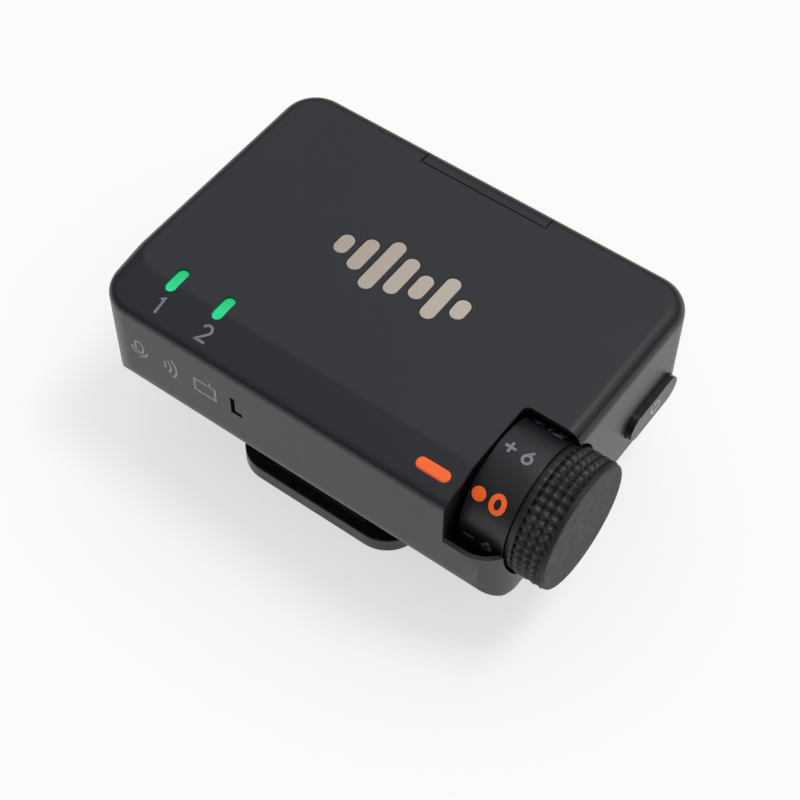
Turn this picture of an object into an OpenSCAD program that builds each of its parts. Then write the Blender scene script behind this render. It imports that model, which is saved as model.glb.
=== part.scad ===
// Compact wireless microphone receiver: housing, gain dial, buttons, sockets, electronics and spring clip.
// Origin: centre of the overall box on the surface the clip rests on. +X towards the dial, +Z up.

/* [Housing] */
// Length of the housing along X
housing_len = 41.5; // [41:0.1:42]
// Depth of the housing along Y
housing_w = 29.6; // [29.4:0.1:30]
// Height of the housing along Z
housing_h = 12.37; // [12.2:0.01:12.6]
// Radius of the four upright corners
corner_r = 3.45; // [3.4:0.05:3.6]
// Radius of the upper edges
top_edge_r = 1.45; // [1.2:0.05:1.6]
// Radius of the long lower edges
bottom_edge_r = 3.4; // [3:0.1:3.6]
// Radius of the lower edge at the sockets' end
socket_edge_r = 1.7; // [1:0.1:1.7]
// Radius of the lower edge at the dial's end
dial_edge_r = 0.4; // [0.3:0.05:0.6]
// Thickness of the housing wall
wall = 1.2; // [1.1:0.05:1.3]
// Depth of the front bevel along Y
bevel_run = 2.85; // [2.7:0.05:3]
// Fall of the front bevel along Z
bevel_drop = 0.75; // [0.7:0.05:0.85]
// Radius of the ridge between the bevel and the front
ridge_r = 0.95; // [0.8:0.05:1.1]
// Height of the lower half at its joint line
parting_h = 1; // [0.8:0.1:1.1]

/* [Gain dial] */
// Radius of the numbered barrel
dial_r = 5.75; // [5.6:0.05:5.8]
// Distance that the dial stands out of the end of the housing
dial_out = 3; // [2.6:0.1:3.2]
// Distance from the dial axis to the front face
dial_inset = 7.65; // [7.5:0.05:7.8]
// Height of the dial axis above the housing's underside
dial_axis_h = 6.45; // [6.4:0.05:6.5]
// Number of knurl teeth round the grip
knurl_count = 44; // [36:2:48]
// Number of knurl rows along the grip
knurl_rows = 4; // [3:1:5]

/* [Buttons and lights] */
// Length of the power button
power_len = 7.4; // [7:0.1:7.8]
// Height of the power button
power_h = 2.8; // [2.6:0.1:3]
// Distance that the power button stands proud
power_out = 0.6; // [0.5:0.05:0.8]
// Travel of both buttons
button_travel = 0.3; // [0.2:0.05:0.3]
// Radius of the link button
link_r = 1.5; // [1.3:0.1:1.6]
// Distance between the two transmitter lights
light_pitch = 5; // [4.8:0.1:5.2]
// Width of a transmitter light
light_w = 1; // [0.9:0.05:1.1]
// Length of the orange index mark
mark_len = 3.2; // [3:0.1:3.6]
// Width of the orange index mark
mark_w = 1.1; // [1:0.05:1.2]

/* [Sockets] */
// Radius of the audio socket's bore, for a 3.5 mm plug
jack_r = 1.8; // [1.78:0.01:1.85]
// Depth of the audio socket's bore
jack_depth = 11; // [10:0.5:12]
// Width of the port cover
cover_len = 13; // [12.6:0.1:13.4]
// Height of the port cover
cover_h = 6.2; // [6:0.1:6.3]
// Thickness of the port cover
cover_t = 2; // [1.9:0.05:2.1]

/* [Clip] */
// Drop from the housing's underside to the clip's resting face
clip_drop = 6.95; // [6.9:0.05:7.1]
// Width of the clip plate, the foot of an accessory shoe
clip_w = 18.4; // [18.2:0.1:18.6]
// Thickness of the clip plate
clip_t = 1.9; // [1.8:0.05:2]
// Width of the neck between the plate and the housing
neck_w = 12; // [11.6:0.1:12.4]
// Radius of the hinge pin
pin_r = 0.8; // [0.75:0.05:0.85]

/* [Hidden] */
$fn = 64;
fit_gap = 0.1;
tiny = 0.05;

// Overall places
total_len = housing_len + dial_out;
x_left = -total_len / 2;
x_right = x_left + housing_len;
x_dial = total_len / 2;
x_mid = (x_left + x_right) / 2;
y_front = -housing_w / 2;
y_back = housing_w / 2;
z_base = clip_drop;
z_top = z_base + housing_h;
z_part = z_base + parting_h;
bevel_a = atan2(bevel_drop, bevel_run);
bevel_lift = top_edge_r * (1 / cos(bevel_a) - 1);
y_crease = y_front + top_edge_r + bevel_run;
ridge_z = z_top - bevel_drop - top_edge_r + (top_edge_r - ridge_r) * (1 - sin(bevel_a)) / cos(bevel_a);

// Inside of the housing
z_floor = z_base + 1.4;
z_ceiling = z_top - wall;
boss_r = 1.4;
bosses = [
    [x_left + 3.1, y_back - 3.5], [x_left + 3.1, y_front + 3.5],
    [x_right - 4, y_back - 2.9], [x_mid + 7, y_front + 2.9]
];
post_r = 1.2;
posts = [[x_mid - 12.6, y_front + 2.9], [x_mid + 8.1, y_back - 2.9]];

// Electronics, stacked from the floor up
battery_len = 24;
battery_w = 19;
battery_t = 3;
pad_t = 0.25;
battery_x = x_left + 5.4;
z_board = z_floor + pad_t + battery_t + 0.3;
board_t = 0.8;
z_board_top = z_board + board_t;

// Gain dial
dial_y = y_front + dial_inset;
dial_z = z_base + dial_axis_h;
pocket_r = dial_r + 0.3;
bushing_r = 2.4;
pocket_x = x_right - 5.3;
window_y = y_front + 11.2;
window_z = z_base + 6.4;
window_corner_r = 0.6;
lip = 0.4;
lip_depth = 0.5;
gap_floor_z = dial_z - 3.5;
barrel_x = pocket_x + 0.15;
barrel_len = 4.2;
groove_w = 0.2;
grip_x = barrel_x + barrel_len + groove_w;
cap_t = 0.4;
grip_end = x_dial - cap_t;
lead_w = 0.55;
knurl_depth = 0.28;
grip_r = dial_r + 0.12;
shaft_r = 1.5;
encoder_w = 7;
encoder_t = 4;
encoder_x = pocket_x - wall - encoder_t;

// Buttons and lights
power_y = y_back - 6.7;
power_z = z_base + 3.6;
link_x = x_mid + 12.5;
link_z = z_board_top + 1.7;
light_x = x_mid - 15.1;
light_back = y_front + 5.85;
light_front = y_front + 3.35;
lens_x = x_mid - 6.05;
lens_z = z_base + 6.15;
lens_w = 0.42;
lens_depth = 0.6;
light_depth = 0.22;
mark_x = x_mid + 12.9;
mark_y = y_front + 2.13;
emblem_x = x_mid - 0.3;
emblem_y = 1.2;
emblem_depth = 0.35;
bar_w = 1.4;
bar_pitch = 2;
bar_heights = [2.2, 3.8, 6, 4.4, 2.8, 5, 2.2];

// Sockets
jack_y = 6.4;
jack_z = z_board_top + 2.3;
jack_rim_r = 2.4;
usb_y = -4.2;
usb_z = z_board_top + 1.6;
usb_w = 8.94;
usb_h = 3.2;
usb_depth = 7.3;
cover_x = x_mid - 0.1;
cover_z = z_top - cover_h;

// Clip
hinge_y = 7.5;
hinge_z = 3.9;
clip_front = y_front + 2.4;
clip_back = y_back - 1.3;
clip_corner = 3.4;
ear_w = 2;
bracket_t = 1;
bracket_front = 0.5;
bracket_back = 12;
knuckle_r = 1.7;
pad_x = 3.2;
jaw_top = z_base - 0.9;
bracket_holes = [for (x = [-3.6, 3.6], y = [bracket_front + 1.6, bracket_back - 1.6]) [x_mid + x, y]];

// --- Shared shapes ---------------------------------------------------------

// A ring whose outside is a disc of radius r with a rounded rim
module rim(r, edge) {
    rotate_extrude($fn = 48) translate([r - edge, 0]) circle(edge, $fn = 24);
}

// Outline of a rectangle with round corners, centred
module round_rect(w, h, r) {
    square([w - 2 * r, h], center = true);
    square([w, h - 2 * r], center = true);
    for (sx = [-1, 1], sy = [-1, 1])
        translate([sx * (w / 2 - r), sy * (h / 2 - r)]) circle(r);
}

// Outline with fully round ends, centred, long side along X
module slot2d(len, w) {
    square([len - w, w], center = true);
    for (s = [-1, 1]) translate([s * (len - w) / 2, 0]) circle(w / 2);
}

// Extrudes a YZ outline along X from x0 to x1
module along_x(x0, x1) {
    translate([x0, 0, 0]) rotate([90, 0, 90]) linear_extrude(x1 - x0) children();
}

// Extrudes an XZ outline along Y from y0 to y1
module along_y(y0, y1) {
    translate([0, y1, 0]) rotate([90, 0, 0]) linear_extrude(y1 - y0) children();
}

// Round bar along X
module bar_x(x0, x1, y, z, r) {
    translate([x0, y, z]) rotate([0, 90, 0]) cylinder(h = x1 - x0, r = r);
}

// Box from its two corners
module block(a, b) {
    translate(a) cube(b - a);
}

// Whole outside of the housing with its rounded edges and front bevel
module housing_form(lift = 0) {
    back = y_back - corner_r;
    front = y_front + corner_r;
    intersection() {
        translate([0, 0, lift]) hull() for (x = [x_left + corner_r, x_right - corner_r]) {
            end_r = x < 0 ? socket_edge_r : dial_edge_r;
            translate([x, back, z_top - top_edge_r]) rim(corner_r, top_edge_r);
            translate([x, front + bevel_run, z_top - top_edge_r]) rim(corner_r, top_edge_r);
            translate([x, front, ridge_z]) rim(corner_r, ridge_r);
            for (y = [front, back]) translate([x, y, z_base + end_r]) rim(corner_r, end_r);
        }
        along_x(x_left - 1, x_right + 1) lower_edges();
    }
}

// Cross-section that rounds the two long lower edges
module lower_edges() {
    r = bottom_edge_r;
    for (s = [-1, 1]) translate([s * (housing_w / 2 - r), z_base + r]) circle(r, $fn = 96);
    translate([y_front + r, z_base]) square([housing_w - 2 * r, r]);
    translate([y_front, z_base + r]) square([housing_w, housing_h]);
}

// Hollow inside the upper half, with a ceiling that follows the bevel
module cavity() {
    inner = housing_w / 2 - wall;
    slope_run = y_crease + 0.6 + inner;
    intersection() {
        translate([x_mid, 0, z_base]) linear_extrude(housing_h)
            round_rect(housing_len - 2 * wall, 2 * inner, corner_r - wall);
        along_x(x_left, x_right) polygon([
            [1 - inner, z_base], [inner - 1, z_base], [inner - 1, z_floor], [inner, z_floor + 1.8],
            [inner, z_ceiling], [slope_run - inner, z_ceiling],
            [-inner, z_ceiling - slope_run * tan(bevel_a)],
            [-inner, z_floor + 1.8], [1 - inner, z_floor]
        ]);
    }
}

// Room for the dial: a round pocket, the window over it, and the deep gap behind the window's thin lip
module dial_room() {
    bar_x(pocket_x, x_right + 1, dial_y, dial_z, pocket_r);
    window_len = x_right + 3 - pocket_x;
    window_w = window_y - y_front + 3;
    translate([pocket_x + window_len / 2, window_y - window_w / 2, window_z]) linear_extrude(housing_h)
        round_rect(window_len, window_w, window_corner_r);
    intersection() {
        translate([x_mid, 0, z_base]) linear_extrude(housing_h)
            round_rect(housing_len - 2 * lip, housing_w - 2 * lip, corner_r - lip);
        along_x(pocket_x - lip_depth, x_right) lip_profile();
    }
}

// Cross-section of the gap behind the lip, which follows the front, the bevel and the top
module lip_profile() {
    front = y_front + lip;
    back = window_y + lip_depth;
    bevel_low_z = z_top + bevel_lift - lip / cos(bevel_a) - (y_crease - front) * tan(bevel_a);
    bevel_top_y = y_crease - (bevel_lift + lip - lip / cos(bevel_a)) / tan(bevel_a);
    polygon([
        [front, gap_floor_z], [front, bevel_low_z], [bevel_top_y, z_top - lip], [back, z_top - lip],
        [back, dial_z], [dial_y, gap_floor_z]
    ]);
}

// Upright outline of a transmitter light
module light_slot(grow = 0) {
    length = light_back - light_front;
    translate([0, (light_back + light_front) / 2]) rotate(90)
        slot2d(length + 2 * grow, light_w + 2 * grow);
}

// Outline of the status light: a short bar with a foot
module lens_outline(grow = 0) {
    w = lens_w + 2 * grow;
    translate([0, -grow]) square([w, 2 + 2 * grow]);
    translate([0, -grow]) square([1.1 + 2 * grow, w]);
}

// Outline of the port cover's face, with its inner corners rounded
module cover_outline(grow = 0) {
    translate([cover_x, z_top - cover_h / 2])
        round_rect(cover_len + 2 * grow, cover_h + 2 * grow, 0.9 + grow);
    translate([cover_x - cover_len / 2 - grow, z_top - 2])
        square([cover_len + 2 * grow, 3]);
}

// Sound-level bars of the emblem
module emblem_bars(grow = 0) {
    count = len(bar_heights);
    for (i = [0 : count - 1])
        translate([emblem_x + (i - (count - 1) / 2) * bar_pitch, emblem_y]) rotate(90)
            slot2d(bar_heights[i] + 2 * grow, bar_w + 2 * grow);
}

// Stadium of the index mark, laid on the bevel; h is measured from its surface
module on_bevel(h0, h1, grow = 0) {
    depth_y = mark_y - y_crease;
    translate([mark_x, mark_y, z_top + bevel_lift + depth_y * tan(bevel_a)]) rotate([bevel_a, 0, 0])
        translate([0, 0, h0]) linear_extrude(h1 - h0) slot2d(mark_len + 2 * grow, mark_w + 2 * grow);
}

// Screw with a cross recess, its head down and its tip up
module screw(head_r, head_t, shank_r, len) {
    difference() {
        union() {
            cylinder(h = head_t, r = head_r, $fn = 32);
            cylinder(h = len, r = shank_r, $fn = 24);
        }
        for (a = [0, 90]) rotate(a) translate([0, 0, 0.1])
            cube([head_r * 1.1, head_r * 0.28, 0.5], center = true);
    }
}

// --- Housing ---------------------------------------------------------------

module upper_housing() {
    color([0.2, 0.21, 0.22]) difference() {
        intersection() {
            union() {
                difference() {
                    housing_form();
                    cavity();
                }
                intersection() {
                    cavity();
                    upper_fittings();
                    block([x_left, y_front, z_floor + fit_gap], [x_right, y_back, z_top]);
                }
            }
            block([x_left - 1, y_front - 1, z_part], [x_right + 1, y_back + 1, z_top + 1]);
        }
        dial_room();
        upper_openings();
    }
}

// Screw bosses, board posts and the dial's well, inside the upper half
module upper_fittings() {
    for (p = bosses) translate([p[0], p[1], z_base])
        cylinder(h = housing_h, r = boss_r, $fn = 32);
    for (p = posts) translate([p[0], p[1], z_board_top])
        cylinder(h = housing_h, r = post_r, $fn = 32);
    bar_x(pocket_x - wall, x_right, dial_y, dial_z, pocket_r + 0.8);
    block([pocket_x - wall, y_front, z_base], [pocket_x, dial_y, z_top]);
    block([pocket_x, y_front, z_base], [x_right, dial_y - 4.5, z_top]);
    block([pocket_x - wall, dial_y, dial_z], [x_right, window_y + lip_depth + 0.8, z_top]);
}

module upper_openings() {
    for (i = [0, 1]) translate([light_x + i * light_pitch, 0, z_board_top])
        linear_extrude(housing_h) light_slot(tiny);
    along_y(y_front - 1, y_front + wall + 1) translate([lens_x, lens_z]) lens_outline(tiny / 2);
    on_bevel(-0.7, 2, tiny / 2);
    translate([0, 0, z_top - emblem_depth]) linear_extrude(1) emblem_bars(tiny);
    along_y(y_back - cover_t - fit_gap, y_back + 1) cover_outline(fit_gap);
    along_x(x_left - 1, x_left + wall + 1) {
        translate([usb_y, usb_z]) slot2d(usb_w + 2 * fit_gap, usb_h + 2 * fit_gap);
        translate([jack_y, jack_z]) circle(jack_rim_r + fit_gap);
    }
    along_x(x_right - wall - 1, x_right + 1) translate([power_y, power_z])
        slot2d(power_len + 2 * fit_gap, power_h + 2 * fit_gap);
    along_y(y_back - wall - 1, y_back + 1) translate([link_x, link_z]) circle(link_r + fit_gap);
    bar_x(pocket_x - wall - 1, pocket_x + 1, dial_y, dial_z, bushing_r);
    for (p = bosses) translate([p[0], p[1], z_base]) cylinder(h = 7.5, r = 0.65, $fn = 24);
    for (p = posts) translate([p[0], p[1], z_board]) cylinder(h = 3.5, r = 0.5, $fn = 24);
}

module lower_housing() {
    color([0.19, 0.2, 0.21]) difference() {
        union() {
            intersection() {
                housing_form();
                block([x_left - 1, y_front - 1, z_base - 1], [x_right + 1, y_back + 1, z_part]);
            }
            translate([x_mid, 0, z_base + 0.4]) linear_extrude(z_floor - z_base - 0.4)
                round_rect(housing_len - 2 * wall - 0.2, housing_w - 2 * bottom_edge_r, 2);
        }
        dial_room();
        bar_x(pocket_x - wall - fit_gap, x_right + 1, dial_y, dial_z, pocket_r + 0.1);
        for (p = bosses) translate([p[0], p[1], z_base - 1]) {
            cylinder(h = 4, r = 0.7, $fn = 24);
            cylinder(h = 1.7, r = 1.15, $fn = 32);
        }
        for (y = contact_places()) translate([x_left + 3.2, y, z_base - 1]) cylinder(h = 4, r = 0.85);
        for (p = bracket_holes) translate([p[0], p[1], z_base - 1]) cylinder(h = 4, r = 0.5, $fn = 24);
    }
}

function contact_places() = [for (i = [-1.5 : 1 : 1.5]) i * 2.6];

module port_cover() {
    color([0.17, 0.18, 0.19]) difference() {
        intersection() {
            housing_form();
            along_y(y_back - cover_t, y_back + 1) cover_outline();
        }
        // Shallow pull groove along the lower edge
        along_y(y_back - 0.4, y_back + 1) translate([cover_x, cover_z + 0.9]) slot2d(5, 0.8);
    }
}

module expansion_connector() {
    front = y_back - cover_t - 0.3;
    color([0.1, 0.1, 0.11]) difference() {
        block([cover_x - 5.5, front - 2.9, z_board_top], [cover_x + 5.5, front, z_board_top + 3.4]);
        along_y(front - 2, front + 1) translate([cover_x, z_board_top + 1.7]) slot2d(9.6, 1.8);
    }
    color([0.85, 0.7, 0.35]) for (i = [-3.5 : 3.5])
        translate([cover_x + i - 0.2, front - 2, z_board_top + 0.8]) cube([0.4, 1.7, 0.3]);
}

// --- Gain dial -------------------------------------------------------------

module dial_barrel() {
    neck_r = dial_r - 0.35;
    color([0.16, 0.17, 0.18]) difference() {
        union() {
            bar_x(barrel_x, barrel_x + barrel_len, dial_y, dial_z, dial_r);
            bar_x(barrel_x, grip_x, dial_y, dial_z, neck_r);
        }
        bar_x(barrel_x - 1, grip_x + 1, dial_y, dial_z, shaft_r);
        // Hollow behind the numbered wall
        difference() {
            bar_x(barrel_x - 1, barrel_x + barrel_len - 1, dial_y, dial_z, dial_r - 1.1);
            bar_x(barrel_x - 1, barrel_x + barrel_len, dial_y, dial_z, 2.8);
        }
    }
}

// Toothed outline round the grip, one V per knurl tooth. It lies just outside the rows' outline,
// so that each knurl point ends in a small round flat.
module knurl_star() {
    step = 360 / knurl_count;
    tip_r = grip_r + 0.02;
    polygon([for (i = [0 : knurl_count - 1], k = [0, 1])
        (tip_r - k * knurl_depth) * [cos((i + k / 2) * step), sin((i + k / 2) * step)]]);
}

// Half outline of the grip: a plain lead-in, then one V per knurl row
module knurl_rows_outline() {
    len = grip_end - grip_x;
    pitch = (len - lead_w) / knurl_rows;
    rows = [for (i = [0 : knurl_rows - 1], k = [0, 1])
        [grip_r - (k == 0 ? knurl_depth : 0), lead_w + (i + k / 2) * pitch]];
    polygon(concat([[shaft_r, 0], [grip_r - knurl_depth, 0]], rows, [
        [grip_r - knurl_depth, len], [shaft_r, len]
    ]));
}

module dial_grip() {
    color([0.15, 0.15, 0.16]) translate([grip_x, dial_y, dial_z]) rotate([0, 90, 0])
        intersection() {
            rotate_extrude() knurl_rows_outline();
            union() {
                linear_extrude(grip_end - grip_x) knurl_star();
                cylinder(h = lead_w, r = dial_r);
            }
        }
}

module dial_cap() {
    color([0.25, 0.25, 0.25]) translate([grip_end, dial_y, dial_z]) rotate([0, 90, 0])
        rotate_extrude() polygon([
            [0, 0], [dial_r, 0], [dial_r, cap_t - 0.15], [dial_r - 0.15, cap_t], [0, cap_t]
        ]);
}

module dial_shaft() {
    color([0.75, 0.75, 0.72]) {
        bar_x(encoder_x + encoder_t, grip_end, dial_y, dial_z, shaft_r - 0.03);
        bar_x(encoder_x + 0.6, encoder_x + encoder_t, dial_y, dial_z, shaft_r - 0.4);
    }
}

module dial_bushing() {
    color([0.72, 0.6, 0.35]) difference() {
        bar_x(encoder_x + encoder_t, barrel_x - 0.1, dial_y, dial_z, bushing_r);
        bar_x(encoder_x, barrel_x + 1, dial_y, dial_z, shaft_r + 0.03);
    }
}

module encoder() {
    half = encoder_w / 2;
    color([0.12, 0.12, 0.13]) difference() {
        block([encoder_x, dial_y - half, dial_z - half],
              [encoder_x + encoder_t, dial_y + half, dial_z + half]);
        bar_x(encoder_x + 0.5, encoder_x + encoder_t + 1, dial_y, dial_z, shaft_r - 0.3);
        // Notches where the metal frame folds over the body
        for (s = [-1, 1]) translate([encoder_x - 1, dial_y - half - 1, dial_z + s * half - 0.4])
            cube([encoder_t - 0.2, 1.5, 0.8]);
    }
}

// --- Buttons and lights ----------------------------------------------------

module power_button() {
    color([0.13, 0.13, 0.14]) {
        along_x(x_right - wall - 0.1, x_right + power_out) translate([power_y, power_z])
            slot2d(power_len, power_h);
        along_x(x_right - wall - 0.6, x_right - wall - 0.1) translate([power_y, power_z])
            slot2d(power_len + 0.8, power_h - 0.2);
    }
}

module power_switch() {
    front = x_right - wall - 0.6 - button_travel - 0.05;
    color([0.6, 0.6, 0.58]) {
        block([front - 2.2, power_y - 2, power_z - 1.2], [front - 0.4, power_y + 2, z_board]);
        bar_x(front - 0.4, front, power_y, power_z, 0.6);
    }
}

module link_button() {
    color([0.13, 0.13, 0.14]) {
        along_y(y_back - wall - 0.1, y_back - 0.05) translate([link_x, link_z]) circle(link_r);
        along_y(y_back - wall - 0.6, y_back - wall - 0.1) translate([link_x, link_z])
            circle(link_r + 0.1);
    }
}

module link_switch() {
    front = y_back - wall - 0.6 - button_travel - 0.05;
    color([0.6, 0.6, 0.58]) {
        block([link_x - 1.8, front - 2.1, z_board_top], [link_x + 1.8, front - 0.4, link_z + 1.2]);
        along_y(front - 0.4, front) translate([link_x, link_z]) circle(0.6);
    }
}

// Clear light guide from a lamp on the board to the surface
module light_pipe(x) {
    color([0.1, 0.85, 0.5]) intersection() {
        housing_form(-light_depth);
        translate([x, 0, z_board_top + 0.8]) linear_extrude(housing_h) light_slot();
    }
}

module light_pipe_1() {
    light_pipe(light_x);
}

module light_pipe_2() {
    light_pipe(light_x + light_pitch);
}

module status_lens() {
    color([0.06, 0.06, 0.07]) along_y(y_front + lens_depth, y_front + wall + 0.2)
        translate([lens_x, lens_z]) lens_outline();
}

module index_mark() {
    color([0.96, 0.37, 0.12]) on_bevel(-0.7, 0.08);
}

module emblem() {
    color([0.76, 0.71, 0.66]) translate([0, 0, z_top - emblem_depth])
        linear_extrude(emblem_depth - 0.02) emblem_bars();
}

// --- Electronics -----------------------------------------------------------

// Plan of the circuit board, clear of the bosses and the dial
module board_outline() {
    difference() {
        translate([x_mid, 0]) round_rect(housing_len - 2 * wall - 1, housing_w - 2 * wall - 0.6, 1.5);
        translate([encoder_x - 0.4, y_front]) square([20, dial_inset + pocket_r + 1.2]);
        for (p = bosses) translate(p) circle(boss_r + 0.25, $fn = 32);
        // The corner beyond the rear boss is cut away
        translate(bosses[2]) square(4);
        for (p = posts) translate(p) circle(0.6, $fn = 24);
        translate([x_right - wall - 1.2, power_y - 4.8]) square([3, 11]);
        translate([cover_x - cover_len / 2 - 0.4, y_back - cover_t - 0.3]) square([cover_len + 0.8, 3]);
    }
}

module main_board() {
    color([0.05, 0.3, 0.18]) translate([0, 0, z_board]) linear_extrude(board_t) board_outline();
}

module board_chips() {
    color([0.08, 0.08, 0.09]) {
        for (p = [[-9.7, 0.5, 2.6], [7.2, 6.5, 2.5], [8.2, 1.5, 2], [-8.5, -7.6, 2]])
            translate([x_mid + p[0], p[1], z_board_top])
                linear_extrude(0.7) square(p[2], center = true);
        for (i = [0 : 3]) translate([x_mid - 4 + i * 1.6, -8.8, z_board_top])
            linear_extrude(0.5) square([1, 0.6], center = true);
    }
}

module radio_shield() {
    low = [x_mid - 6.5, -6.5, z_board_top];
    color([0.75, 0.76, 0.78]) difference() {
        block(low, low + [11, 13, 1.7]);
        block(low + [0.2, 0.2, -1], low + [10.8, 12.8, 1.5]);
    }
}

module antenna() {
    low = [x_mid - 3.5, y_front + 1.9, z_board_top];
    color([0.85, 0.83, 0.75]) block(low, low + [9, 2.6, 1.1]);
}

module indicator_lights() {
    color([0.95, 0.93, 0.75]) {
        for (i = [0, 1]) translate([light_x + i * light_pitch, (light_front + light_back) / 2, z_board_top])
            linear_extrude(0.6) square([1.6, 0.8], center = true);
        translate([lens_x - 0.2, y_front + 1.65, z_board_top]) cube([1.4, 0.9, 0.7]);
    }
}

module battery() {
    color([0.72, 0.74, 0.76]) translate([battery_x, 0, z_floor + pad_t]) intersection() {
        translate([0, -battery_w / 2, 0]) cube([battery_len, battery_w, battery_t]);
        along_x(0, battery_len) translate([0, battery_t / 2])
            round_rect(battery_w, battery_t, 0.9);
    }
}

module battery_pad() {
    color([0.9, 0.9, 0.85]) translate([battery_x + 2, -battery_w / 2 + 2, z_floor])
        cube([battery_len - 4, battery_w - 4, pad_t]);
}

module battery_tabs() {
    low = [battery_x + battery_len, 1.5, z_board - 1.6];
    color([0.8, 0.8, 0.76]) for (i = [0, 1]) translate(low + [0, i * 4, 0]) {
        cube([1.4, 2, 0.15]);
        translate([1.25, 0, 0]) cube([0.15, 2, 1.6]);
    }
}

module usb_shell() {
    color([0.72, 0.73, 0.75]) along_x(x_left + 0.15, x_left + 0.15 + usb_depth)
        translate([usb_y, usb_z]) difference() {
            slot2d(usb_w, usb_h);
            slot2d(usb_w - 0.6, usb_h - 0.6);
        }
}

module usb_tongue() {
    color([0.1, 0.1, 0.11]) {
        along_x(x_left + 0.9, x_left + usb_depth - 0.8) translate([usb_y, usb_z])
            square([6.7, 0.7], center = true);
        along_x(x_left + usb_depth - 0.8, x_left + usb_depth) translate([usb_y, usb_z])
            slot2d(usb_w - 0.7, usb_h - 0.7);
    }
}

module audio_socket() {
    x0 = x_left + wall + 0.1;
    color([0.11, 0.11, 0.12]) difference() {
        union() {
            block([x0, jack_y - 3, z_board_top], [x0 + jack_depth, jack_y + 3, z_board_top + 4.6]);
            bar_x(x_left + 0.05, x0, jack_y, jack_z, jack_rim_r);
        }
        bar_x(x_left - 1, x_left + 0.05 + jack_depth, jack_y, jack_z, jack_r);
    }
}

module audio_contacts() {
    x0 = x_left + wall + 0.1;
    color([0.8, 0.65, 0.3]) for (i = [0 : 2])
        translate([x0 + 2.5 + i * 3, jack_y + 3, z_board_top]) cube([1.2, 0.2, 3]);
}

module charge_contacts() {
    color([0.85, 0.7, 0.35]) for (y = contact_places()) translate([x_left + 3.2, y, z_base + 0.1]) {
        cylinder(h = z_floor - z_base - 0.1, r = 0.8);
        translate([0, 0, z_floor - z_base - 0.1]) cylinder(h = 0.3, r = 1.1);
    }
}

// --- Clip ------------------------------------------------------------------

module clip_bracket() {
    half = neck_w / 2;
    color([0.13, 0.13, 0.14]) difference() {
        union() {
            block([x_mid - half, bracket_front, z_base - bracket_t], [x_mid + half, bracket_back, z_base]);
            for (s = [0, 1]) hinge_ear(s == 0 ? x_mid - half : x_mid + half - ear_w);
        }
        bar_x(x_mid - half - 1, x_mid + half + 1, hinge_y, hinge_z, pin_r);
        for (p = bracket_holes) translate([p[0], p[1], z_base - bracket_t - 1]) {
            cylinder(h = 4, r = 0.5, $fn = 24);
            cylinder(h = 1.5, r = 1, $fn = 32);
        }
    }
}

// Ear that carries the pin, from x0 over its width
module hinge_ear(x0) {
    bar_x(x0, x0 + ear_w, hinge_y, hinge_z, knuckle_r);
    block([x0, hinge_y - knuckle_r, hinge_z], [x0 + ear_w, hinge_y + knuckle_r, z_base - bracket_t + tiny]);
}

// Plan of the clip plate with its large round corners
module clip_outline() {
    translate([x_mid, (clip_front + clip_back) / 2])
        round_rect(clip_w, clip_back - clip_front, clip_corner);
}

module clip_plate() {
    inner = neck_w / 2 - ear_w - 0.3;
    chamfer = 0.3;
    color([0.07, 0.07, 0.08]) difference() {
        union() {
            translate([0, 0, chamfer]) linear_extrude(clip_t - chamfer) clip_outline();
            translate([x_mid, (clip_front + clip_back) / 2, 0]) linear_extrude(clip_t)
                round_rect(clip_w - 2 * chamfer, clip_back - clip_front - 2 * chamfer, clip_corner - chamfer);
            // Jaw near the free end, inside the neck's width
            block([x_mid - 5, clip_front + 1.2, clip_t - tiny], [x_mid + 5, clip_front + 3.2, jaw_top]);
            // Two knuckles round the pin
            for (s = [0, 1]) {
                x0 = s == 0 ? x_mid - inner : x_mid + inner - 1;
                bar_x(x0, x0 + 1, hinge_y, hinge_z, knuckle_r);
                block([x0, hinge_y - knuckle_r, clip_t - tiny], [x0 + 1, hinge_y + knuckle_r, hinge_z]);
            }
        }
        bar_x(x_mid - inner - 1, x_mid + inner + 1, hinge_y, hinge_z, pin_r + 0.06);
        // Recess on the resting face
        translate([x_mid, clip_front + 7, -0.01]) linear_extrude(0.25) slot2d(9, 1.2);
    }
}

module clip_pin() {
    color([0.75, 0.75, 0.76])
        bar_x(x_mid - neck_w / 2 + 0.1, x_mid + neck_w / 2 - 0.1, hinge_y, hinge_z, pin_r);
}

// Torsion spring: turns of wire round the pin and a leg on each side
module clip_spring() {
    wire_r = 0.22;
    coil_r = 1.25;
    turns = 5;
    turn_pitch = 0.4;
    leg_len = 4.4;
    half_len = (turns - 1) * turn_pitch / 2;
    color([0.7, 0.71, 0.72]) translate([x_mid, hinge_y, hinge_z]) {
        for (i = [0 : turns - 1]) translate([i * turn_pitch - half_len, 0, 0]) rotate([0, 90, 0])
            rotate_extrude($fn = 40) translate([coil_r, 0]) circle(wire_r, $fn = 16);
        translate([-half_len, 0, -coil_r]) rotate([-90, 0, 0]) cylinder(h = leg_len, r = wire_r, $fn = 16);
        translate([half_len, 0, coil_r]) rotate([90, 0, 0]) cylinder(h = leg_len, r = wire_r, $fn = 16);
    }
}

module clip_pads() {
    color([0.2, 0.2, 0.21]) for (s = [-1, 1]) translate([x_mid + s * pad_x - 1.5, clip_front + 1.4, jaw_top])
        cube([3, 1.6, 0.55]);
}

// --- Fasteners -------------------------------------------------------------

module case_screws() {
    color([0.35, 0.35, 0.36]) for (p = bosses) translate([p[0], p[1], z_base + 0.15])
        screw(1.05, 0.5, 0.6, 6.4);
}

module board_screws() {
    color([0.6, 0.6, 0.62]) for (p = posts) translate([p[0], p[1], z_board - 0.4])
        screw(0.9, 0.4, 0.45, 3.4);
}

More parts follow.
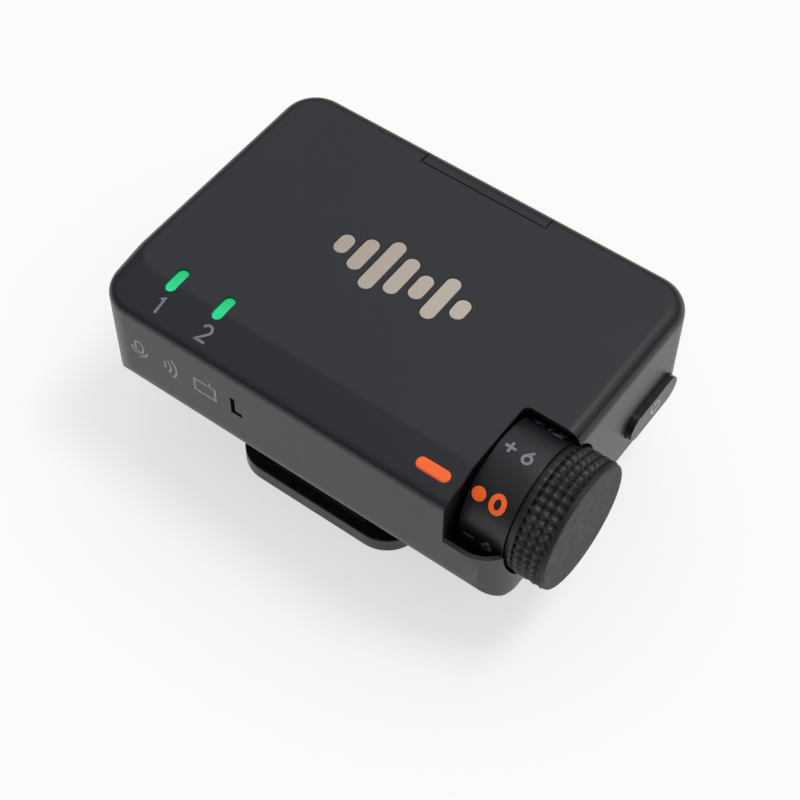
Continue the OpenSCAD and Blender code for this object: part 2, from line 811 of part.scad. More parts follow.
module bracket_screws() {
    color([0.35, 0.35, 0.36]) for (p = bracket_holes)
        translate([p[0], p[1], z_base - bracket_t + 0.05]) screw(0.9, 0.4, 0.45, 2.1);
}

upper_housing();
lower_housing();
port_cover();
expansion_connector();
dial_barrel();
dial_grip();
dial_cap();
dial_shaft();
dial_bushing();
encoder();
power_button();
power_switch();
link_button();
link_switch();
light_pipe_1();
light_pipe_2();
status_lens();
index_mark();
emblem();
main_board();
board_chips();
radio_shield();
antenna();
indicator_lights();
battery();
battery_pad();
battery_tabs();
usb_shell();
usb_tongue();
audio_socket();
audio_contacts();
charge_contacts();
clip_bracket();
clip_plate();
clip_pin();
clip_spring();
clip_pads();
case_screws();
board_screws();
bracket_screws();
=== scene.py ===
import math

import bmesh
import bpy
from mathutils import Matrix, Vector


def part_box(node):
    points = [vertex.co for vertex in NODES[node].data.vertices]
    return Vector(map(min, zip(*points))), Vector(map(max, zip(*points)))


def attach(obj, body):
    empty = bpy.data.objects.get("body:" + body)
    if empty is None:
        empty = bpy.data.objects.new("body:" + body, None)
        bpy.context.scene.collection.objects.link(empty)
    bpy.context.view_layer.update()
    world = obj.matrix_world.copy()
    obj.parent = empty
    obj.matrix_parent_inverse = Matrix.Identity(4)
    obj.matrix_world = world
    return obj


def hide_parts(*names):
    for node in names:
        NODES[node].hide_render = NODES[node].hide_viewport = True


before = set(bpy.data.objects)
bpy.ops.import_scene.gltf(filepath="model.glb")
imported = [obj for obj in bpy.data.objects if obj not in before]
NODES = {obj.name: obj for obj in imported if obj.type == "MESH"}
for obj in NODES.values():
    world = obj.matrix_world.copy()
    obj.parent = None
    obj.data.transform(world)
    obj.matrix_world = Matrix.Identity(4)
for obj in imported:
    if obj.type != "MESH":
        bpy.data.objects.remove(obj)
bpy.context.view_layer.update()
MM = 0.001

# Places on the housing, read from the frame
UPPER_LOW, UPPER_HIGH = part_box("upper_housing")
BARREL_LOW, BARREL_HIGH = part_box("dial_barrel")
GRIP_LOW, GRIP_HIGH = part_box("dial_grip")
CAP_LOW, CAP_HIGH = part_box("dial_cap")
BUTTON_LOW, BUTTON_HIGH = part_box("power_button")
TONGUE_LOW, TONGUE_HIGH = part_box("usb_tongue")
DIAL_Y = (BARREL_LOW.y + BARREL_HIGH.y) / 2
DIAL_Z = (BARREL_LOW.z + BARREL_HIGH.z) / 2
DIAL_R = (BARREL_HIGH.z - BARREL_LOW.z) / 2
Y_FRONT = UPPER_LOW.y
Z_TOP = UPPER_HIGH.z

# The front bevel: its slope, and how far behind the front face it meets the top
BEVEL_ANGLE = math.atan2(0.75, 2.85)
TOP_EDGE_R = 1.45 * MM
BEVEL_CREASE_Y = Y_FRONT + 4.3 * MM
BEVEL_CREASE_Z = Z_TOP + TOP_EDGE_R * (1 / math.cos(BEVEL_ANGLE) - 1)

# Brightness of the room near the horizon and overhead
HORIZON_GLOW, ZENITH_GLOW = 0.08, 0.9


# --- Camera and light -------------------------------------------------------

def make_camera():
    """The camera looks down at the front and the dial end."""
    azimuth, elevation, roll = math.radians(35.75), math.radians(54.18), math.radians(0.63)
    target = Vector((5.64, -9.16, 19.32)) * MM
    back = Vector((math.sin(azimuth) * math.cos(elevation), -math.cos(azimuth) * math.cos(elevation),
                   math.sin(elevation)))
    turn = Matrix.Rotation(azimuth, 3, "Z") @ Matrix.Rotation(math.pi / 2 - elevation, 3, "X")
    turn = turn @ Matrix.Rotation(roll, 3, "Z")
    data = bpy.data.cameras.new("camera")
    data.lens, data.sensor_width = 81.9, 36
    data.clip_start, data.clip_end = 0.01, 20
    camera = bpy.data.objects.new("camera", data)
    camera.matrix_world = Matrix.Translation(target + back * 144.3 * MM) @ turn.to_4x4()
    bpy.context.scene.collection.objects.link(camera)
    bpy.context.scene.camera = camera


def area_light(name, place, target, size, watts, color=(1, 1, 1)):
    data = bpy.data.lights.new(name, "AREA")
    data.shape, data.size, data.energy, data.color = "DISK", size, watts, color
    light = bpy.data.objects.new(name, data)
    place, target = Vector(place), Vector(target)
    light.matrix_world = Matrix.Translation(place) @ (place - target).to_track_quat("Z", "Y").to_matrix().to_4x4()
    bpy.context.scene.collection.objects.link(light)


def make_light():
    """A pale room: dim near the horizon, bright above, dim again where the photographer would stand."""
    world = bpy.data.worlds.new("studio")
    world.use_nodes = True
    tree = world.node_tree
    sky = tree.nodes["Background"]
    sky.inputs["Color"].default_value = (0.985, 0.99, 1, 1)
    place = tree.nodes.new("ShaderNodeTexCoord").outputs["Generated"]

    def ramp(value, start, end, low, high):
        node = tree.nodes.new("ShaderNodeMapRange")
        node.interpolation_type = "SMOOTHSTEP"
        for key, number in (("From Min", start), ("From Max", end), ("To Min", low), ("To Max", high)):
            node.inputs[key].default_value = number
        tree.links.new(value, node.inputs["Value"])
        return node.outputs["Result"]

    up = tree.nodes.new("ShaderNodeSeparateXYZ")
    tree.links.new(place, up.inputs["Vector"])
    toward = tree.nodes.new("ShaderNodeVectorMath")
    toward.operation = "DOT_PRODUCT"
    toward.inputs[1].default_value = Vector((-0.3, -0.6, 0.75)).normalized()
    tree.links.new(place, toward.inputs[0])
    product = tree.nodes.new("ShaderNodeMath")
    product.operation = "MULTIPLY"
    tree.links.new(ramp(up.outputs["Z"], 0.25, 0.75, HORIZON_GLOW, ZENITH_GLOW), product.inputs[0])
    tree.links.new(ramp(toward.outputs["Value"], 0.3, 0.95, 1, 0.48), product.inputs[1])
    tree.links.new(product.outputs[0], sky.inputs["Strength"])
    bpy.context.scene.world = world
    area_light("softbox", (0.3, 0.22, 0.95), (0, 0, 0.01), 0.32, 3.0, (1, 0.99, 0.97))


# --- Materials --------------------------------------------------------------

class Shader:
    """A node material under construction: its nodes, links and Principled shader."""

    def __init__(self, name):
        self.material = bpy.data.materials.new(name)
        self.material.use_nodes = True
        self.tree = self.material.node_tree
        self.principled = self.tree.nodes["Principled BSDF"]
        self.place = self.add("ShaderNodeTexCoord").outputs["Object"]

    def add(self, kind, **settings):
        node = self.tree.nodes.new(kind)
        for key, value in settings.items():
            setattr(node, key, value)
        return node

    def link(self, source, target):
        self.tree.links.new(source, target)

    def constant(self, **values):
        for key, value in values.items():
            self.principled.inputs[key.replace("_", " ")].default_value = value

    def noise(self, size, detail=2.0, rough=0.5):
        """Noise with features of about that size in metres, from 0 to 1."""
        node = self.add("ShaderNodeTexNoise")
        node.inputs["Scale"].default_value = 1 / size
        node.inputs["Detail"].default_value = detail
        node.inputs["Roughness"].default_value = rough
        self.link(self.place, node.inputs["Vector"])
        return node.outputs["Fac"]

    def spread(self, value, low, high, start=0.3, end=0.7):
        node = self.add("ShaderNodeMapRange")
        for key, number in (("From Min", start), ("From Max", end), ("To Min", low), ("To Max", high)):
            node.inputs[key].default_value = number
        self.link(value, node.inputs["Value"])
        return node.outputs["Result"]

    def mix(self, fac, color_a, color_b):
        """Colour mix; a colour is a triple or an output."""
        node = self.add("ShaderNodeMix", data_type="RGBA")
        self.link(fac, node.inputs["Factor"])
        for key, color in (("A", color_a), ("B", color_b)):
            socket = next(s for s in node.inputs if s.name == key and s.type == "RGBA")
            if isinstance(color, tuple):
                socket.default_value = (*color, 1)
            else:
                self.link(color, socket)
        return next(s for s in node.outputs if s.type == "RGBA")

    def bump(self, height, depth, below=None):
        """Bump of that depth in metres; below is an earlier bump's output."""
        node = self.add("ShaderNodeBump")
        node.inputs["Strength"].default_value = 1
        node.inputs["Distance"].default_value = depth
        self.link(height, node.inputs["Height"])
        if below is not None:
            self.link(below, node.inputs["Normal"])
        return node.outputs["Normal"]

    def axis(self, letter):
        node = self.add("ShaderNodeSeparateXYZ")
        self.link(self.place, node.inputs["Vector"])
        return node.outputs[letter]

    def finish(self, color=None, rough=None, normal=None):
        for key, output in (("Base Color", color), ("Roughness", rough), ("Normal", normal)):
            if output is not None:
                self.link(output, self.principled.inputs[key])
        return self.material


def specks(shader, size, share):
    """Sparse dust: 1 on a few small round spots, 0 elsewhere."""
    cells = shader.add("ShaderNodeTexVoronoi")
    cells.inputs["Scale"].default_value = 1 / size
    shader.link(shader.place, cells.inputs["Vector"])
    spot = shader.spread(cells.outputs["Distance"], 1, 0, 0.03, 0.09)
    chosen = shader.add("ShaderNodeSeparateColor")
    shader.link(cells.outputs["Color"], chosen.inputs["Color"])
    few = shader.add("ShaderNodeMath", operation="LESS_THAN")
    few.inputs[1].default_value = share
    shader.link(chosen.outputs["Red"], few.inputs[0])
    both = shader.add("ShaderNodeMath", operation="MULTIPLY")
    shader.link(spot, both.inputs[0])
    shader.link(few.outputs[0], both.inputs[1])
    return both.outputs[0]


def shell_plastic():
    """Dark soft-touch plastic with a fine moulded grain and a little dust."""
    s = Shader("shell_plastic")
    cloud = s.spread(s.noise(9 * MM), 0, 1)
    body = s.mix(cloud, (0.0112, 0.0126, 0.0178), (0.0124, 0.0139, 0.0192))
    dust = specks(s, 1.6 * MM, 0.03)
    color = s.mix(dust, body, (0.16, 0.16, 0.16))
    rough = s.spread(s.noise(0.35 * MM, 3), 0.35, 0.4)
    grain = s.bump(s.noise(0.09 * MM, 2), 0.0022 * MM)
    s.constant(Specular_IOR_Level=0.5)
    return s.finish(color, rough, grain)


def satin_plastic(name, dark, light, rough_low, rough_high, grain=0.12, depth=0.0012):
    """Plain moulded plastic: slight colour cloud, uneven gloss, fine grain. grain and depth are in mm."""
    s = Shader(name)
    color = s.mix(s.spread(s.noise(3 * MM), 0, 1), dark, light)
    rough = s.spread(s.noise(1.2 * MM, 4), rough_low, rough_high)
    return s.finish(color, rough, s.bump(s.noise(grain * MM, 3), depth * MM))


def cap_rubber():
    """Lighter sandy face of the dial."""
    s = Shader("cap_rubber")
    fine = s.noise(0.16 * MM, 3, 0.7)
    color = s.mix(s.spread(fine, 0, 1), (0.008, 0.0082, 0.0084), (0.015, 0.0153, 0.0155))
    rough = s.spread(s.noise(0.5 * MM, 3), 0.55, 0.7)
    return s.finish(color, rough, s.bump(fine, 0.006 * MM))


def lamp_green():
    """Lit light guide: brighter towards its front end, with soft clouding."""
    s = Shader("lamp_green")
    low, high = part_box("light_pipe_1")
    along = s.spread(s.axis("Y"), 1, 0, low.y, high.y)
    cloud = s.spread(s.noise(0.7 * MM, 1), -0.12, 0.12)
    total = s.add("ShaderNodeMath", operation="ADD", use_clamp=True)
    s.link(along, total.inputs[0])
    s.link(cloud, total.inputs[1])
    color = s.mix(total.outputs[0], (0.001, 0.5, 0.16), (0.012, 0.72, 0.28))
    s.link(color, s.principled.inputs["Emission Color"])
    s.constant(Emission_Strength=1.0)
    rough = s.spread(s.noise(0.4 * MM), 0.2, 0.3)
    return s.finish(s.mix(cloud, (0.0, 0.01, 0.004), (0.0, 0.014, 0.006)), rough)


def paint(name, dark, light, rough, coat=0.0, painted_glow=0.0):
    """Printed or filled-in paint with slight thickness changes. A glow above 0 makes the paint emit a little of its
    own colour, a painted glow.
    """
    s = Shader(name)
    color = s.mix(s.spread(s.noise(0.6 * MM, 3), 0, 1), dark, light)
    # The paint colour also feeds the emission, which gives a painted glow when the last argument is above 0.
    s.link(color, s.principled.inputs["Emission Color"])
    s.constant(Coat_Weight=coat, Coat_Roughness=0.12, Emission_Strength=painted_glow)
    return s.finish(color, s.spread(s.noise(0.8 * MM), rough - 0.05, rough + 0.05),
                    s.bump(s.noise(0.2 * MM), 0.0015 * MM))


def metal(name, dark, light, rough, stretch=(1, 1, 1), grain=0.3):
    """Metal with fine scratches drawn out along the axis that stretch makes small."""
    s = Shader(name)
    s.constant(Metallic=1.0)
    shape = s.add("ShaderNodeMapping")
    shape.inputs["Scale"].default_value = stretch
    s.link(s.place, shape.inputs["Vector"])
    s.place = shape.outputs["Vector"]
    lines = s.noise(grain * MM, 4, 0.6)
    color = s.mix(s.spread(lines, 0, 1), dark, light)
    return s.finish(color, s.spread(lines, rough - 0.06, rough + 0.08), s.bump(lines, 0.002 * MM))


def emblem_metal():
    """Champagne inlay: satin metal, with a painted sheen that makes it warmer and lighter towards the rear."""
    s = Shader("emblem_metal")
    low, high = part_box("emblem")
    s.constant(Metallic=0.35)
    # Painted sheen: the colour runs from darker to lighter along x across the inlay.
    along = s.spread(s.axis("X"), 0, 1, low.x, high.x)
    color = s.mix(along, (0.52, 0.45, 0.38), (0.62, 0.55, 0.475))
    fine = s.noise(0.12 * MM, 3)
    return s.finish(color, s.spread(fine, 0.36, 0.46), s.bump(fine, 0.0012 * MM))


def board_green():
    """Solder mask with tracks under it."""
    s = Shader("board_green")
    tracks = s.add("ShaderNodeTexBrick")
    tracks.inputs["Scale"].default_value = 1 / (4 * MM)
    tracks.inputs["Mortar Size"].default_value = 0.03
    tracks.inputs["Color1"].default_value = (0.01, 0.1, 0.05, 1)
    tracks.inputs["Color2"].default_value = (0.012, 0.12, 0.06, 1)
    tracks.inputs["Mortar"].default_value = (0.04, 0.25, 0.12, 1)
    s.link(s.place, tracks.inputs["Vector"])
    return s.finish(tracks.outputs["Color"], s.spread(s.noise(1 * MM), 0.3, 0.4),
                    s.bump(tracks.outputs["Fac"], 0.01 * MM))


def floor_white():
    """Pale table lit through from below, which keeps the shadows light."""
    s = Shader("floor_white")
    cloud = s.spread(s.noise(0.3), 0, 1)
    color = s.mix(cloud, (0.45, 0.44, 0.43), (0.465, 0.455, 0.445))
    s.link(s.mix(cloud, (0.99, 0.975, 0.965), (1, 0.985, 0.975)), s.principled.inputs["Emission Color"])
    s.constant(Specular_IOR_Level=0.2, Emission_Strength=0.64)
    return s.finish(color, s.spread(s.noise(0.05), 0.7, 0.8))


SHELL = shell_plastic()
BARREL = satin_plastic("barrel_plastic", (0.0105, 0.0117, 0.015), (0.0122, 0.0134, 0.017), 0.36, 0.46)
KNURL = satin_plastic("knurl_rubber", (0.009, 0.0095, 0.0115), (0.0115, 0.012, 0.0145), 0.42, 0.52, 0.1, 0.002)
BUTTON = satin_plastic("button_plastic", (0.009, 0.0097, 0.0115), (0.0115, 0.0122, 0.014), 0.3, 0.38)
CLIP = satin_plastic("clip_plastic", (0.006, 0.0064, 0.007), (0.008, 0.0084, 0.009), 0.3, 0.4, 0.3)
PAD = satin_plastic("grip_rubber", (0.018, 0.018, 0.019), (0.026, 0.026, 0.027), 0.6, 0.75, 0.15, 0.004)
INNER = satin_plastic("inner_plastic", (0.01, 0.01, 0.011), (0.014, 0.014, 0.015), 0.4, 0.5)
LENS = satin_plastic("smoked_lens", (0.003, 0.003, 0.004), (0.005, 0.005, 0.006), 0.12, 0.18, 0.6, 0.0005)
CERAMIC = satin_plastic("ceramic", (0.6, 0.57, 0.5), (0.7, 0.67, 0.6), 0.4, 0.5)
# Near-black paint put where there is only shade inside the dial's room: a painted shade.
GAP_SHADE_PAINT = satin_plastic("painted_gap_shade", (0.001, 0.001, 0.0012), (0.002, 0.002, 0.0022), 0.7, 0.8)
FOAM = satin_plastic("foam", (0.6, 0.59, 0.53), (0.72, 0.71, 0.65), 0.8, 0.9, 0.25, 0.02)
CAP = cap_rubber()
GREEN = lamp_green()
GREY_PRINT = paint("grey_print", (0.2, 0.2, 0.25), (0.28, 0.28, 0.335), 0.5)
FRONT_PRINT = paint("front_print", (0.26, 0.26, 0.27), (0.34, 0.34, 0.35), 0.5)
WHITE_PRINT = paint("white_print", (0.5, 0.5, 0.52), (0.6, 0.6, 0.62), 0.45)
# The orange paint emits a little light of its own (0.2), a painted glow on the dial's zero and the index mark.
ORANGE = paint("orange_paint", (0.95, 0.125, 0.018), (1, 0.15, 0.025), 0.3, 0.5, 0.2)
EMBLEM = emblem_metal()
STEEL = metal("steel", (0.45, 0.45, 0.46), (0.62, 0.62, 0.63), 0.3, (0.1, 1, 1))
BRASS = metal("brass", (0.55, 0.4, 0.16), (0.68, 0.5, 0.22), 0.28)
GOLD = metal("gold", (0.75, 0.5, 0.18), (0.85, 0.6, 0.24), 0.2)
SCREW = metal("black_oxide", (0.035, 0.035, 0.038), (0.06, 0.06, 0.064), 0.35)
FOIL = metal("foil", (0.5, 0.5, 0.52), (0.62, 0.62, 0.64), 0.38, grain=1.5)
BOARD = board_green()

CAD_FINISHES = {
    "status_lens": LENS, "link_button": BUTTON, "light_pipe_1": GREEN, "light_pipe_2": GREEN,
    "dial_shaft": STEEL, "dial_bushing": BRASS, "encoder": INNER, "power_switch": STEEL, "link_switch": STEEL,
    "main_board": BOARD, "board_chips": INNER, "radio_shield": STEEL, "antenna": CERAMIC,
    "indicator_lights": CERAMIC, "battery": FOIL, "battery_pad": FOAM, "battery_tabs": STEEL,
    "usb_shell": STEEL, "usb_tongue": INNER, "audio_socket": INNER, "audio_contacts": GOLD,
    "charge_contacts": GOLD, "expansion_connector": INNER, "clip_bracket": CLIP, "clip_pin": STEEL,
    "clip_spring": STEEL, "clip_pads": PAD, "case_screws": SCREW, "board_screws": SCREW,
    "bracket_screws": SCREW,
}


def finish_cad_nodes():
    for name, material in CAD_FINISHES.items():
        for slot in NODES[name].material_slots:
            slot.material = material


# --- Building pieces --------------------------------------------------------

def new_piece(name, mesh, material, body):
    mesh.materials.clear()
    mesh.materials.append(material)
    piece = bpy.data.objects.new(name, mesh)
    bpy.context.scene.collection.objects.link(piece)
    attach(piece, body)
    return piece


def skin(node, name, material, body, round_mm=0.06, sharp_degrees=35, painted_shade_faces=None):
    """A smooth-shaded stand-in for a CAD node, with its sharp edges slightly rounded. Faces that the picking function
    chooses get a near-black paint that stands in for shade."""
    mesh = NODES[node].data.copy()
    mesh.name = name
    bm = bmesh.new()
    bm.from_mesh(mesh)
    bmesh.ops.remove_doubles(bm, verts=bm.verts, dist=0.0005 * MM)
    bmesh.ops.dissolve_limit(bm, angle_limit=math.radians(0.3), verts=bm.verts, edges=bm.edges)
    for face in bm.faces:
        face.smooth = True
    for edge in bm.edges:
        edge.smooth = edge.is_manifold and edge.calc_face_angle(0) < math.radians(sharp_degrees)
    for face in bm.faces:
        # Picked faces take the second slot, the near-black painted shade.
        face.material_index = 1 if painted_shade_faces and painted_shade_faces(face) else 0
    bm.to_mesh(mesh)
    bm.free()
    piece = new_piece(name, mesh, material, body)
    if painted_shade_faces:
        mesh.materials.append(GAP_SHADE_PAINT)
    if round_mm:
        bevel = piece.modifiers.new("round", "BEVEL")
        bevel.width, bevel.segments = round_mm * MM, 2
        bevel.limit_method, bevel.angle_limit = "ANGLE", math.radians(sharp_degrees)
        bevel.use_clamp_overlap = True
    shade = piece.modifiers.new("shade", "WEIGHTED_NORMAL")
    shade.keep_sharp, shade.weight = True, 80
    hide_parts(node)
    return piece


def mesh_from(name, points, faces, sharp_degrees=40):
    mesh = bpy.data.meshes.new(name)
    mesh.from_pydata([tuple(p) for p in points], [], faces)
    mesh.validate()
    bm = bmesh.new()
    bm.from_mesh(mesh)
    bmesh.ops.recalc_face_normals(bm, faces=bm.faces)
    for face in bm.faces:
        face.smooth = True
    for edge in bm.edges:
        edge.smooth = edge.is_manifold and edge.calc_face_angle(0) < math.radians(sharp_degrees)
    bm.to_mesh(mesh)
    bm.free()
    return mesh


def lathe(name, profile, segments=160):
    """Closed solid turned about the dial's axis. The profile is a loop of (x, radius) in mm; a radius of 0 closes."""
    points, faces, rings = [], [], []
    for x, radius in profile:
        count = 1 if radius == 0 else segments
        rings.append(range(len(points), len(points) + count))
        for i in range(count):
            a = 2 * math.pi * i / segments
            points.append(Vector((x, DIAL_Y / MM + radius * math.sin(a), DIAL_Z / MM + radius * math.cos(a))) * MM)
    pairs = list(zip(rings, rings[1:]))
    if profile[0][1] > 0:
        pairs.append((rings[-1], rings[0]))
    for one, two in pairs:
        for i in range(segments):
            j = (i + 1) % segments
            corners = [one[i % len(one)], one[j % len(one)], two[j % len(two)], two[i % len(two)]]
            faces.append(list(dict.fromkeys(corners)))
    return mesh_from(name, points, [f for f in faces if len(f) > 2])


def corner(x, radius, size, start, steps=5):
    """Points of a rounded corner of a lathe profile, a quarter turn from the angle start, in degrees."""
    out = []
    for i in range(steps + 1):
        a = math.radians(start + 90 * i / steps)
        out.append((x + size * math.cos(a), radius + size * math.sin(a)))
    return out


# --- Printed marks ----------------------------------------------------------

def arc(cx, cy, radius, start, end, steps=None):
    steps = steps or max(6, round(abs(end - start) / 9))
    angles = [math.radians(start + (end - start) * i / steps) for i in range(steps + 1)]
    return [(cx + radius * math.cos(a), cy + radius * math.sin(a)) for a in angles]


def ellipse(cx, cy, rx, ry, steps=48):
    angles = [2 * math.pi * i / steps for i in range(steps)]
    return [(cx + rx * math.cos(a), cy + ry * math.sin(a)) for a in angles]


def resample(path, step, closed=False):
    """The path with extra points, so that no stretch is longer than step."""
    out = []
    ends = path[1:] + path[:1] if closed else path[1:]
    for (ax, ay), (bx, by) in zip(path, ends):
        count = max(1, math.ceil(math.hypot(bx - ax, by - ay) / step))
        out += [(ax + (bx - ax) * i / count, ay + (by - ay) * i / count) for i in range(count)]
    return out if closed else out + [path[-1]]


def side_points(path, width, closed):
    """Left and right points of a stroke along the path, mitred at its corners."""
    left, right = [], []
    count = len(path)
    for i, (x, y) in enumerate(path):
        before = path[i - 1] if closed or i else path[i]
        after = path[(i + 1) % count] if closed or i < count - 1 else path[i]
        d1 = Vector((x - before[0], y - before[1]))
        d2 = Vector((after[0] - x, after[1] - y))
        d1 = d1.normalized() if d1.length else d2.normalized()
        d2 = d2.normalized() if d2.length else d1
        across = Vector((-d1.y - d2.y, d1.x + d2.x)).normalized()
        reach = width / 2 / max(0.5, across.dot(Vector((-d1.y, d1.x))))
        left.append((x + across.x * reach, y + across.y * reach))
        right.append((x - across.x * reach, y - across.y * reach))
    return left, right


def stroke(path, width, closed=False, step=0.15):
    """A printed line as rows of points across it: two for each place on the path."""
    path = resample(path, step, closed)
    return list(zip(*side_points(path, width, closed))), closed


def disc(cx, cy, radius, rings=4):
    """A filled spot, as a stroke whose rows are its chords along u."""
    steps = rings * 6
    rows = []
    for i in range(1, steps):
        a = math.pi * i / steps
        y, half = cy - radius * math.cos(a), radius * math.sin(a)
        rows.append(((cx - half, y), (cx + half, y)))
    return rows, False


def printed(name, marks, place, material, body, height=0.02, sunk=0.03):
    """One raised print from marks in mm. place turns (u, v, height) in mm into a point in metres."""
    points, faces = [], []
    for rows, closed in marks:
        rings = []
        for (lx, ly), (rx, ry) in rows:
            rings.append(len(points))
            points += [place(lx, ly, height), place(rx, ry, height), place(rx, ry, -sunk), place(lx, ly, -sunk)]
        pairs = list(zip(rings, rings[1:])) + ([(rings[-1], rings[0])] if closed else [])
        for a, b in pairs:
            faces += [[a + i, b + i, b + (i + 1) % 4, a + (i + 1) % 4] for i in range(4)]
        if not closed:
            faces += [[rings[0] + i for i in range(4)], [rings[-1] + i for i in (3, 2, 1, 0)]]
    return new_piece(name, mesh_from(name, points, faces, 50), material, body)


def on_front(x, z):
    """Placement on the front face, with u to the right and v up. x and z are in mm."""
    return lambda u, v, w: Vector((x + u, Y_FRONT / MM - w, z + v)) * MM


def on_slope(x, y):
    """Placement on the front bevel, with v up the slope."""
    cos, sin = math.cos(BEVEL_ANGLE), math.sin(BEVEL_ANGLE)
    z = BEVEL_CREASE_Z / MM + (y - BEVEL_CREASE_Y / MM) * math.tan(BEVEL_ANGLE)
    return lambda u, v, w: Vector((x + u, y + v * cos - w * sin, z + v * sin + w * cos)) * MM


def on_barrel(x, degrees):
    """Placement on the numbered barrel at an angle from the top, towards the rear."""
    def place(u, v, w):
        a = math.radians(degrees) + v * MM / DIAL_R
        r = DIAL_R / MM + w
        return Vector((x + u, DIAL_Y / MM + r * math.sin(a), DIAL_Z / MM + r * math.cos(a))) * MM
    return place


def on_button(y, z):
    """Placement on the power button's face, with u to the rear and v up."""
    return lambda u, v, w: Vector((BUTTON_HIGH.x / MM + w, y + u, z + v)) * MM


def digit(number, size, width):
    """Strokes of one digit centred on (0, 0), size mm high and drawn with a line width mm wide."""
    h = (size - width) / 2
    if number == "0":
        return [stroke(ellipse(0, 0, h * 0.8, h), width, True)]
    if number == "1":
        return [stroke([(-h * 0.42, h * 0.72), (0, h), (0, -h)], width)]
    if number == "2":
        r = h * 0.56
        bend = arc(0, h - r, r, 165, -35)
        return [stroke(bend + [(-r * 1.05, -h), (r * 1.15, -h)], width)]
    if number == "6":
        r = h * 0.62
        return [stroke(ellipse(0, r - h, r, r), width, True),
                stroke([(h * 0.4, h), (-r * 0.86, r * 1.5 - h)], width * 0.96)]
    raise ValueError(number)


def shifted(marks, du, dv=0.0):
    return [([tuple((x + du, y + dv) for x, y in row) for row in rows], closed) for rows, closed in marks]


# --- The pieces -------------------------------------------------------------

def in_dial_gap(face):
    """The end wall of the dial's room, which gets near-black paint as painted shade and shows as a dark gap beside
    the barrel.
    """
    place = face.calc_center_median()
    return face.normal.x > 0.9 and abs(place.x - BARREL_LOW.x) < 1 * MM


def make_housing():
    # The dial room's end wall gets the near-black painted shade.
    skin("upper_housing", "upper_shell", SHELL, "housing", painted_shade_faces=in_dial_gap)
    skin("lower_housing", "lower_shell", SHELL, "housing")
    skin("port_cover", "port_cover_shell", SHELL, "port_cover")
    skin("emblem", "emblem_inlay", EMBLEM, "housing", 0.03)
    skin("index_mark", "index_inlay", ORANGE, "housing", 0.14)


def make_clip():
    skin("clip_plate", "clip_foot", CLIP, "clip", 0.12)


def make_power_button():
    skin("power_button", "power_key", BUTTON, "power_button", 0.12)


def make_dial():
    x0, x1 = BARREL_LOW.x / MM, BARREL_HIGH.x / MM
    groove_start = x1 - 0.12
    r = DIAL_R / MM
    barrel = corner(x0 + 0.12, r - 0.12, 0.12, 90)[::-1]
    profile = ([(x0, r - 1.1)] + barrel + corner(groove_start - 0.08, r - 0.08, 0.08, 0)[::-1]
               + [(groove_start, r - 0.35), (x1, r - 0.35), (x1, 1.5), (x0, 1.5), (x0, 2.8), (x1 - 1.2, 2.8),
                  (x1 - 1.2, r - 1.1)])
    piece = new_piece("barrel", lathe("barrel", profile), BARREL, "dial")
    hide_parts("dial_barrel")

    x0, x1 = CAP_LOW.x / MM, CAP_HIGH.x / MM
    edge = 0.16
    rim = corner(x1 - edge, r - edge, edge, 0)
    profile = [(x0, 0), (x0, r)] + rim[::-1] + [(x1 - 0.03, r - 0.9), (x1 - 0.03, 0)]
    piece = new_piece("cap", lathe("cap", profile), CAP, "dial")
    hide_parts("dial_cap")


def make_grip():
    """The knurled ring: crossing ridges with pits between them, behind a plain lead-in."""
    x0, x1 = GRIP_LOW.x / MM, GRIP_HIGH.x / MM
    outer = (GRIP_HIGH.z - GRIP_LOW.z) / 2 / MM
    lead, teeth, rows, depth = 0.62, 44, 3.5, 0.42
    around, along = teeth * 10, 44
    pitch = (x1 - x0 - lead) / rows

    def radius(x, turn):
        if x < x0 + lead:
            return DIAL_R / MM - (0.08 if x < x0 + 0.08 else 0)
        a = abs((turn * teeth) % 1 - 0.5) * 2
        b = abs(((x - x0 - lead) / pitch) % 1 - 0.5) * 2
        return outer - depth * (0.5 * (a + b) / 2 + 0.5 * a * b)

    xs = [x0, x0 + 0.08, x0 + lead - 0.01] + [x0 + lead + (x1 - x0 - lead) * i / along for i in range(along + 1)]
    points, faces = [], []
    for x in xs:
        for i in range(around):
            r, a = radius(x, i / around), 2 * math.pi * i / around
            points.append(Vector((x, DIAL_Y / MM + r * math.sin(a), DIAL_Z / MM + r * math.cos(a))) * MM)
    for k in range(len(xs) - 1):
        for i in range(around):
            j = (i + 1) % around
            faces.append([k * around + i, k * around + j, (k + 1) * around + j, (k + 1) * around + i])
    faces.append(list(range(around)))
    faces.append([(len(xs) - 1) * around + i for i in reversed(range(around))])
    piece = new_piece("knurled_grip", mesh_from("knurled_grip", points, faces, 60), KNURL, "dial")
    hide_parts("dial_grip")


def make_dial_numbers():
    """Five gain settings, 45 degrees apart. The middle one is orange, with a dot."""
    sign_x, first_x, line = 15.2, 16.85, 0.25
    minus = [stroke([(-0.5, 0), (0.5, 0)], line)]
    plus = minus + [stroke([(0, -0.5), (0, 0.5)], line)]
    six = digit("6", 1.45, line)
    twelve = shifted(digit("1", 1.4, line), -0.5) + shifted(digit("2", 1.4, line), 0.42)
    rest_angles = {"plus_12": 41, "plus_6": -4, "minus_6": -94, "minus_12": -139}
    for name, degrees in rest_angles.items():
        sign = plus if name.startswith("plus") else minus
        value = twelve if name.endswith("12") else six
        marks = shifted(sign, sign_x) + shifted(value, first_x)
        printed("dial_" + name, marks, on_barrel(0, degrees), GREY_PRINT, "dial", 0.012)
    dot = shifted([disc(0, 0, 0.62)], 15.0)
    zero = shifted([stroke(ellipse(0, 0, 0.52, 0.7), 0.44, True)], 16.75)
    printed("dial_zero", dot + zero, on_barrel(0, -49), ORANGE, "dial", 0.03)


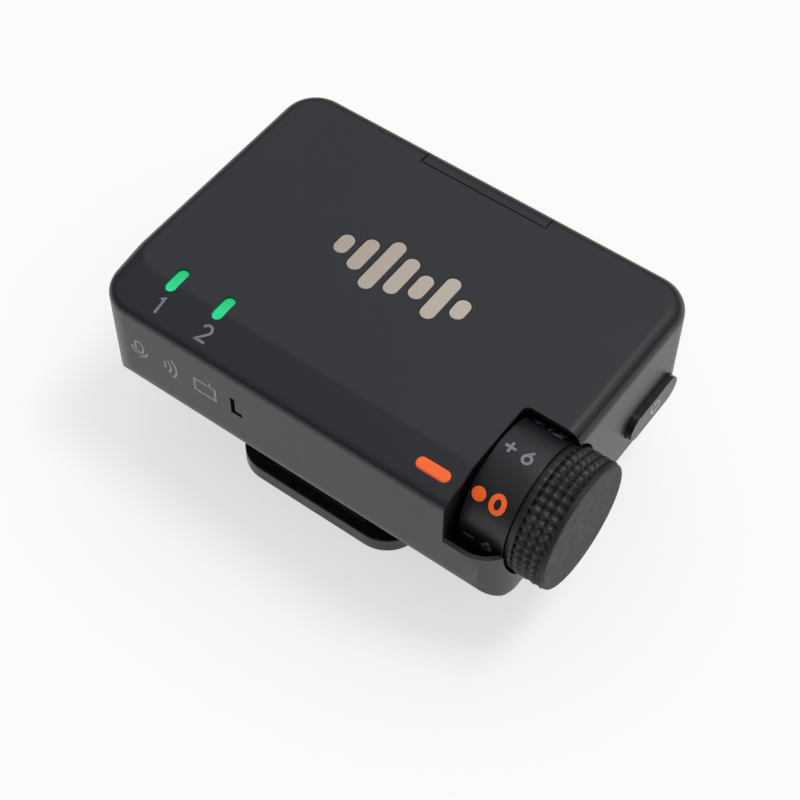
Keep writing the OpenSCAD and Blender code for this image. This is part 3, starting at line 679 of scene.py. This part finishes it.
def make_light_numbers():
    for number, x in (("1", -16.25), ("2", -11.4)):
        marks = digit(number, 1.75, 0.23)
        printed("channel_" + number, marks, on_slope(x, -12.9), GREY_PRINT, "housing", 0.012)


def make_front_marks():
    """Plain pictograms on the front: a microphone, radio waves, and a small receiver with its aerial."""
    line = 0.23
    microphone = [stroke(arc(0, 0.45, 0.42, 0, 180) + arc(0, -0.1, 0.42, 180, 360), line, True),
                  stroke(arc(0, -0.1, 0.84, 180, 360), line), stroke([(0, -0.94), (0, -1.3)], line)]
    waves = [stroke(arc(-0.9, 0, r, -42, 42), line) for r in (0.6, 1.2, 1.8)]
    box = [stroke([(-1, -0.8), (1.2, -0.8), (1.2, 0.7), (-1, 0.7)], line, True),
           stroke([(0.7, 0.7), (0.7, 1.3)], line)]
    marks = shifted(microphone, -3.6) + shifted(waves, -0.4) + shifted(box, 3.5)
    printed("front_marks", marks, on_front(-13.9, 14.0), FRONT_PRINT, "housing", 0.01)


def make_power_mark():
    ring = stroke(arc(0, 0, 0.62, 125, 415), 0.17)
    marks = [ring, stroke([(0, 0.15), (0, 0.82)], 0.17)]
    printed("power_mark", marks, on_button(8.2, 10.7), WHITE_PRINT, "power_button", 0.01)


def make_usb_contacts():
    """Gold fingers on both faces of the tongue."""
    mid_y = (TONGUE_LOW.y + TONGUE_HIGH.y) / 2 / MM
    mid_z = (TONGUE_LOW.z + TONGUE_HIGH.z) / 2 / MM
    points, faces = [], []
    for side in (-1, 1):
        for i in range(12):
            y = mid_y + (i - 5.5) * 0.5
            z = mid_z + side * 0.35
            x0, x1 = TONGUE_LOW.x / MM + 0.4, TONGUE_LOW.x / MM + 4
            start = len(points)
            for dz in (-0.02, 0.02):
                points += [Vector((x, y + dy, z + dz)) * MM
                           for x, dy in ((x0, -0.13), (x1, -0.13), (x1, 0.13), (x0, 0.13))]
            loop = [start + i for i in range(4)]
            faces += [loop[::-1], [i + 4 for i in loop]]
            faces += [[loop[i], loop[(i + 1) % 4], loop[(i + 1) % 4] + 4, loop[i] + 4] for i in range(4)]
    new_piece("usb_fingers", mesh_from("usb_fingers", points, faces), GOLD, "housing")


def make_floor():
    bpy.ops.mesh.primitive_plane_add(size=6, location=(0, 0, -0.00002))
    floor = bpy.context.object
    floor.name = "floor"
    floor.data.materials.append(floor_white())


bpy.context.scene.view_settings.view_transform = "Standard"
make_camera()
make_light()
finish_cad_nodes()
make_housing()
make_clip()
make_power_button()
make_dial()
make_grip()
make_dial_numbers()
make_light_numbers()
make_front_marks()
make_power_mark()
make_usb_contacts()
make_floor()
